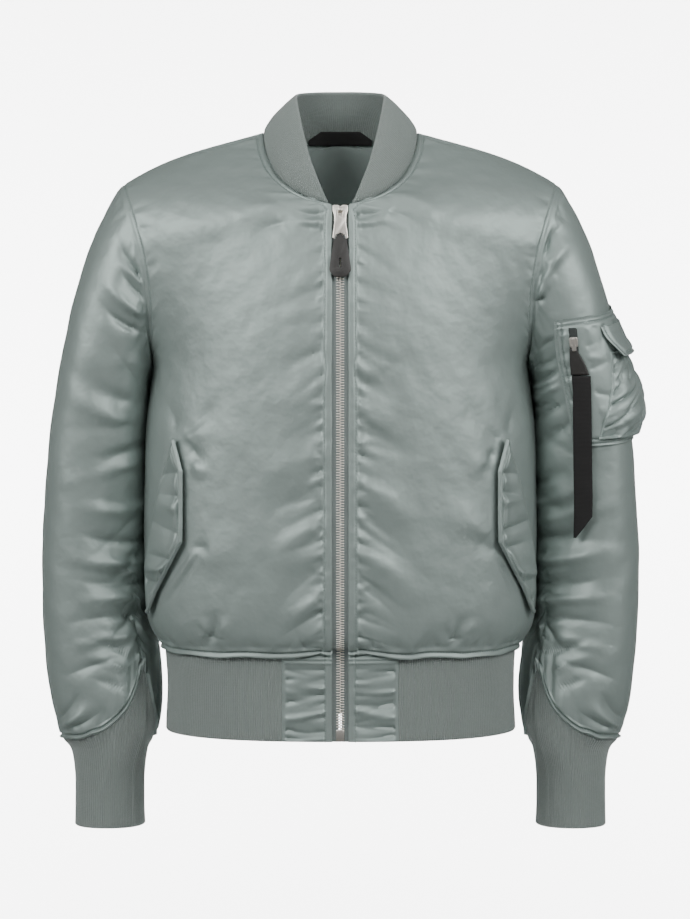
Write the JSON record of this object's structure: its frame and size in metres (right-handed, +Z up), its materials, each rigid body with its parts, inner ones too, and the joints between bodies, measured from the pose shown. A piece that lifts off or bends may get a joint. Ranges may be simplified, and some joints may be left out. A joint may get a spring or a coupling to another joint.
{
  "type": "bomber jacket",
  "caption": "Hollow bomber jacket in light satin with rib-knit collar, cuffs and waistband, front zip with hanging pull, slanted flap pockets and a zipped sleeve pocket.",
  "frame": {"origin": "between the two neck points, at the height where collar and shoulder seams meet, where the wearer's shoulders carry the jacket", "axes": "+Z up along the body, the front with its zip faces -Y, +X towards the wearer's left arm, which has the sleeve pocket"},
  "size_m": [0.6575, 0.2557, 0.7946],
  "materials": {
    "satin_nylon": "lightly padded satin-weave nylon, soft sheen, grey-green",
    "rib_knit": "matt rib knit, grey-green",
    "lining_satin": "thin satin lining, dark grey-green",
    "zip_tape": "woven zip tape, matt",
    "black_tape": "black woven ribbon, ribbed crosswise",
    "black_leather": "black leather, fine grain",
    "nickel": "polished nickel"
  },
  "bodies": {
    "jacket": {"back": "satin_nylon", "collar": "rib_knit", "cuff_left": "rib_knit", "cuff_right": "rib_knit", "front_left": "satin_nylon", "front_right": "satin_nylon", "hanger_loop": "black_tape", "hem_panel_left": "satin_nylon", "hem_panel_right": "satin_nylon", "hem_rib": "rib_knit", "lining_back": "lining_satin", "pen_flap": "satin_nylon", "pen_pocket": "satin_nylon", "pocket_flap_left": "satin_nylon", "pocket_flap_right": "satin_nylon", "sleeve_left": "satin_nylon", "sleeve_pocket_base": "satin_nylon", "sleeve_pull_leather": "black_leather", "sleeve_ribbon": "black_tape", "sleeve_right": "satin_nylon", "sleeve_zip": "nickel", "sleeve_zip_slider": "nickel", "zip_bottom_stop": "nickel", "zip_chain": "nickel", "zip_slider": "nickel", "zip_tape_left": "zip_tape", "zip_tape_right": "zip_tape"},
    "zip_pull": {"zip_pull": "nickel", "zip_pull_leather": "black_leather"}
  },
  "joints": [
    {"name": "zip_pull", "type": "hinge", "parent": "jacket", "child": "zip_pull", "pos_m": [0, -0.09745, -0.08494], "axis": [-1, 0, 0], "range_deg": [0, 165]}
  ]
}
